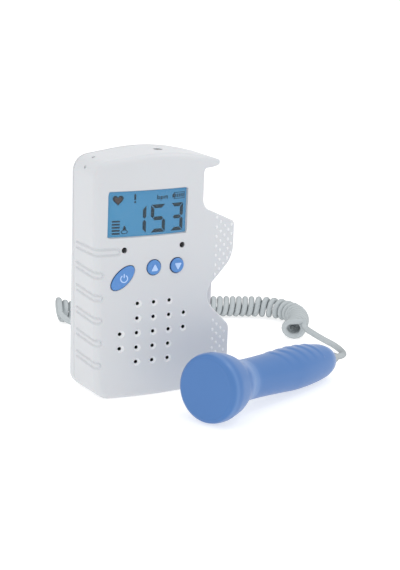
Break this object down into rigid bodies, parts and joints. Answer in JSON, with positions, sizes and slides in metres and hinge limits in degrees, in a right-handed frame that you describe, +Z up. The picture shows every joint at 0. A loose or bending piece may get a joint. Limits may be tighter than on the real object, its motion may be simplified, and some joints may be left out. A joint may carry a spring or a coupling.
{
  "type": "fetal doppler",
  "caption": "Handheld fetal heartbeat monitor: white unit with screen, keys, speaker holes and side cradle, and a blue probe on a curly cord.",
  "frame": {"origin": "middle of the unit's flat base, on the surface that it stands on, at mid-depth under the screen", "axes": "+Z up; the unit's bowed face looks along -Y, towards the user, and its cradle is on the +X side"},
  "size_m": [0.208, 0.2425, 0.1414],
  "materials": {
    "white_case": "satin white",
    "blue_key": "satin blue",
    "blue_probe": "satin blue",
    "grey_cord": "matt light grey",
    "clear_window": "clear",
    "screen_glass": "blue-tinted liquid crystal",
    "white_diffuser": "white",
    "black_plastic": "black",
    "green_board": "green solder mask",
    "steel": "bright",
    "lamp_lens": "dark",
    "speaker_paper": "black paper",
    "ceramic": "cream ceramic",
    "resin": "dark potting",
    "battery_jacket": "dark grey"
  },
  "bodies": {
    "unit": {"amplifier_chip": "black_plastic", "battery": "battery_jacket", "battery_snap": "black_plastic", "case_screw_1": "steel", "case_screw_2": "steel", "case_screw_3": "steel", "case_screw_4": "steel", "controller_chip": "black_plastic", "cord_coil": "grey_cord", "cord_gland": "grey_cord", "cord_lead": "grey_cord", "front_cover": "white_case", "headphone_jack": "black_plastic", "lamp_left": "lamp_lens", "lamp_right": "lamp_lens", "main_board": "green_board", "power_switch": "black_plastic", "rear_cover": "white_case", "screen_backlight": "white_diffuser", "screen_glass": "screen_glass", "screen_holder": "black_plastic", "screen_window": "clear_window", "speaker_basket": "black_plastic", "speaker_cone": "speaker_paper", "speaker_magnet": "steel", "volume_down_switch": "black_plastic", "volume_up_switch": "black_plastic"},
    "power_key_body": {"power_key": "blue_key"},
    "volume_up_key_body": {"volume_up_key": "blue_key"},
    "volume_down_key_body": {"volume_down_key": "blue_key"},
    "door": {"battery_door": "white_case"},
    "probe": {"probe_backing": "resin", "probe_board": "green_board", "probe_boot": "grey_cord", "probe_crystal": "ceramic", "probe_handle": "blue_probe", "probe_head": "blue_probe", "cord_tail": "grey_cord"}
  },
  "joints": [
    {"name": "power_key_press", "type": "slide", "parent": "unit", "child": "power_key_body", "axis": [0, 1, 0], "range_m": [0, 0.0008], "stiffness_N_per_m": 400},
    {"name": "volume_up_press", "type": "slide", "parent": "unit", "child": "volume_up_key_body", "axis": [0, 1, 0], "range_m": [0, 0.0008], "stiffness_N_per_m": 400},
    {"name": "volume_down_press", "type": "slide", "parent": "unit", "child": "volume_down_key_body", "axis": [0, 1, 0], "range_m": [0, 0.0008], "stiffness_N_per_m": 400},
    {"name": "battery_door_hinge", "type": "hinge", "parent": "unit", "child": "door", "pos_m": [-0.008, 0.02182, 0.0113], "axis": [-1, 0, 0], "range_deg": [0, 70]},
    {"name": "probe_lift", "type": "slide", "parent": "unit", "child": "probe", "axis": [0, 0, 1], "range_m": [0, 0.1]}
  ]
}
